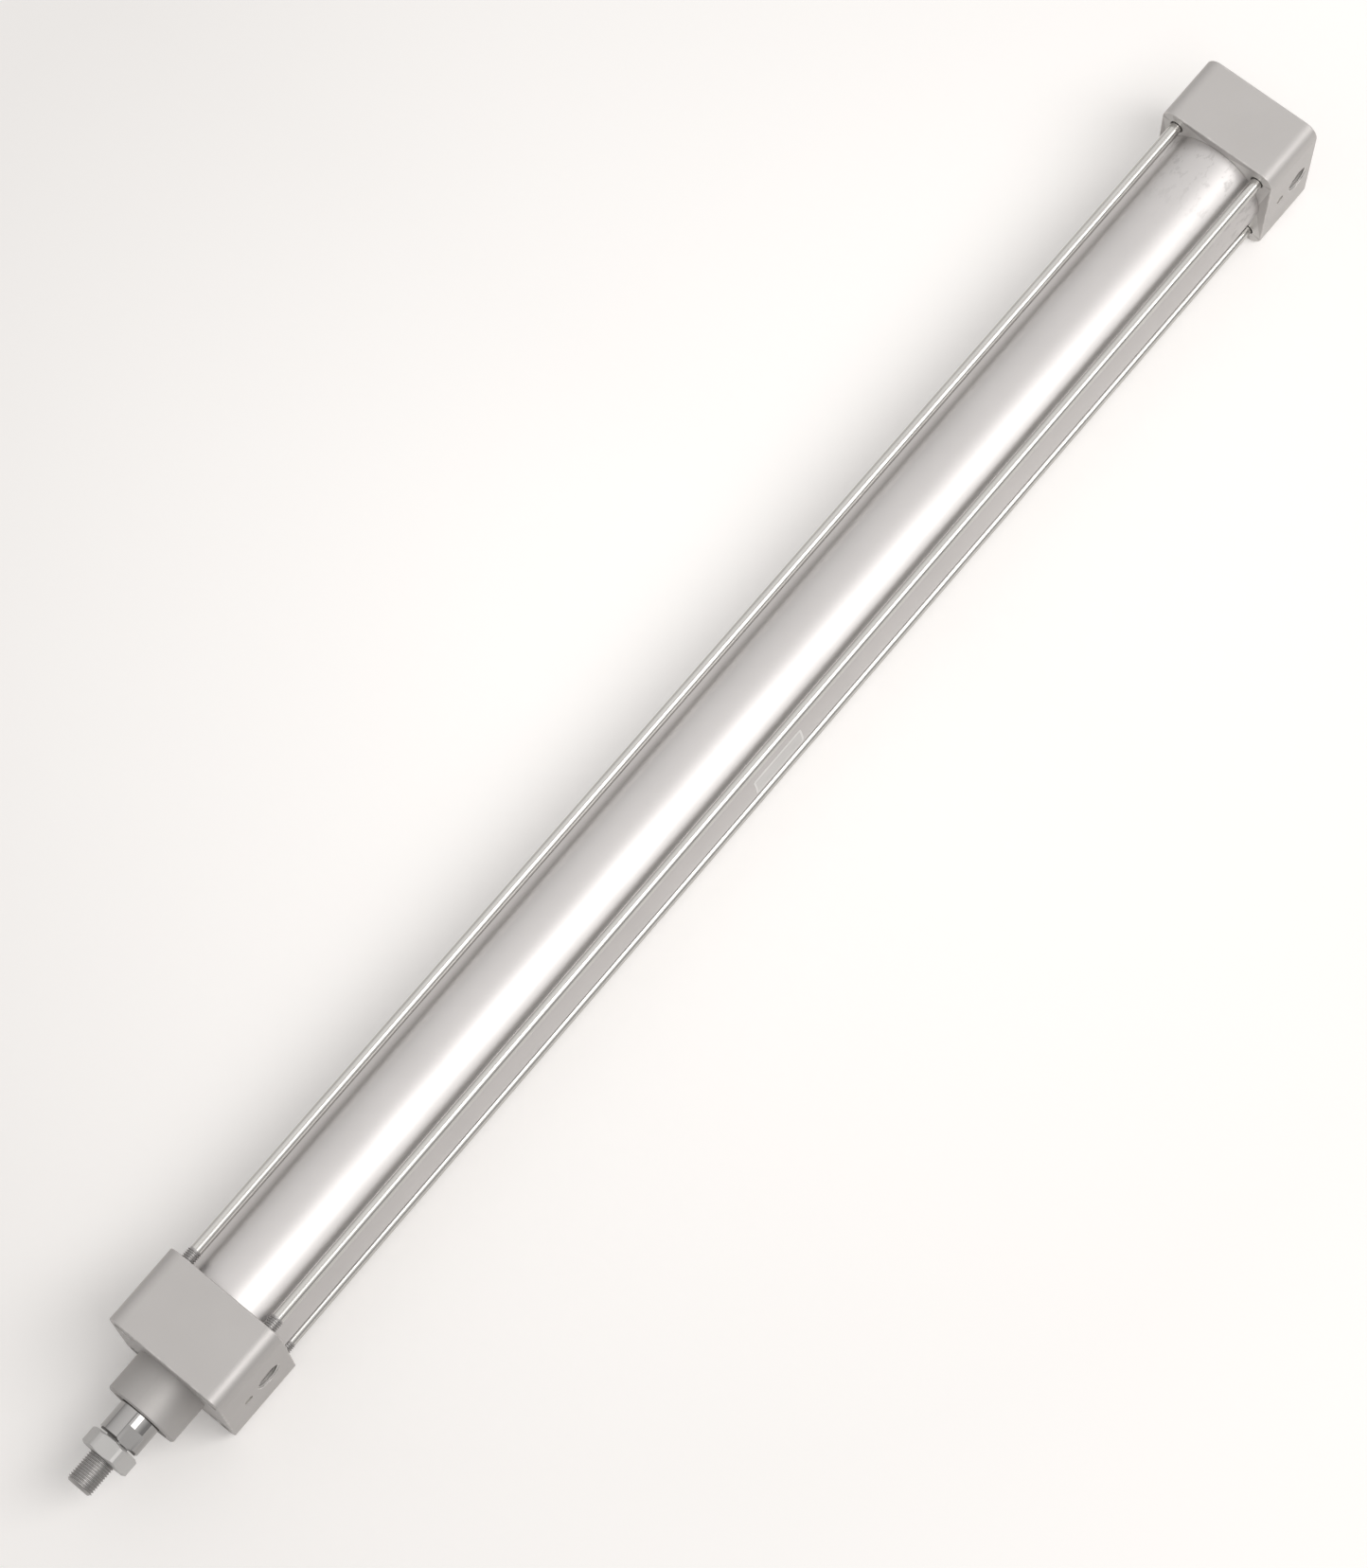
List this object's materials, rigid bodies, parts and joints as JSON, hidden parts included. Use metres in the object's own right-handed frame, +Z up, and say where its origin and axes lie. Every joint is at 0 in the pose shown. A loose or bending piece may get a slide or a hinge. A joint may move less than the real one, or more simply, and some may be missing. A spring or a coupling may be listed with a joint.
{
  "type": "tie rod pneumatic cylinder",
  "caption": "Long tie rod air cylinder: square covers clamp a round tube, and a chromed rod with lock nut slides out of the nose boss.",
  "frame": {"origin": "on the cylinder's axis, in the front mounting face of the rod cover, at the root of the nose boss", "axes": "+X along the piston rod, out of the nose; +Y towards the side with the air ports; +Z up"},
  "size_m": [1.01, 0.077, 0.077],
  "materials": {
    "painted_cover": "die cast aluminium, smooth silver grey paint, satin",
    "anodised_tube": "drawn aluminium tube, clear anodised, satin",
    "bright_steel": "bright drawn steel, dark rolled threads at the ends",
    "zinc_steel": "zinc plated steel, pale grey",
    "chromed_rod": "hard chromed and ground steel, dark oiled thread",
    "machined_aluminium": "turned aluminium",
    "brass": "turned brass",
    "bushing_bronze": "sintered bronze, oil soaked",
    "seal_rubber": "black rubber, matte",
    "guide_plastic": "dark filled plastic"
  },
  "bodies": {
    "barrel": {"rod_cover": "painted_cover", "head_cover": "painted_cover", "cylinder_tube": "anodised_tube", "tie_rod_1": "bright_steel", "tie_rod_2": "bright_steel", "tie_rod_3": "bright_steel", "tie_rod_4": "bright_steel", "retaining_ring": "zinc_steel", "seal_washer": "zinc_steel", "front_tie_rod_nut_1": "zinc_steel", "front_tie_rod_nut_2": "zinc_steel", "front_tie_rod_nut_3": "zinc_steel", "front_tie_rod_nut_4": "zinc_steel", "rear_tie_rod_nut_1": "zinc_steel", "rear_tie_rod_nut_2": "zinc_steel", "rear_tie_rod_nut_3": "zinc_steel", "rear_tie_rod_nut_4": "zinc_steel", "rod_bushing": "bushing_bronze", "front_tube_ring": "seal_rubber", "rear_tube_ring": "seal_rubber", "front_cushion_seal": "seal_rubber", "rear_cushion_seal": "seal_rubber", "rod_seal": "seal_rubber", "rod_wiper": "seal_rubber"},
    "piston_rings": {"front_piston_seal": "seal_rubber", "rear_piston_seal": "seal_rubber", "wear_ring": "guide_plastic"},
    "rod": {"piston_rod": "chromed_rod", "piston": "machined_aluminium", "piston_static_ring": "seal_rubber", "front_cushion_sleeve": "machined_aluminium", "rear_cushion_sleeve": "machined_aluminium", "piston_nut": "zinc_steel", "rod_end_nut": "zinc_steel"},
    "front_needle_rise": {"front_needle_ring": "seal_rubber"},
    "front_needle": {"front_cushion_needle": "brass"},
    "rear_needle_rise": {"rear_needle_ring": "seal_rubber"},
    "rear_needle": {"rear_cushion_needle": "brass"}
  },
  "joints": [
    {"name": "rod_slide", "type": "slide", "parent": "barrel", "child": "piston_rings", "axis": [1, 0, 0], "range_m": [0, 0.8]},
    {"name": "rod_turn", "type": "hinge", "parent": "piston_rings", "child": "rod", "pos_m": [0, 0, 0], "axis": [1, 0, 0], "continuous": true},
    {"name": "front_needle_rise", "type": "slide", "parent": "barrel", "child": "front_needle_rise", "axis": [0, 1, 0], "range_m": [0, 0.002]},
    {"name": "front_needle_turn", "type": "hinge", "parent": "front_needle_rise", "child": "front_needle", "pos_m": [-0.0165, 0.03, 0], "axis": [0, 1, 0], "range_deg": [0, 1445]},
    {"name": "rear_needle_rise", "type": "slide", "parent": "barrel", "child": "rear_needle_rise", "axis": [0, 1, 0], "range_m": [0, 0.002]},
    {"name": "rear_needle_turn", "type": "hinge", "parent": "rear_needle_rise", "child": "rear_needle", "pos_m": [-0.9067, 0.03, 0], "axis": [0, 1, 0], "range_deg": [0, 1445]}
  ],
  "couplings": [
    {"joint": "front_needle_turn", "follows": "front_needle_rise", "rad_per_m": 12566},
    {"joint": "rear_needle_turn", "follows": "rear_needle_rise", "rad_per_m": 12566}
  ]
}
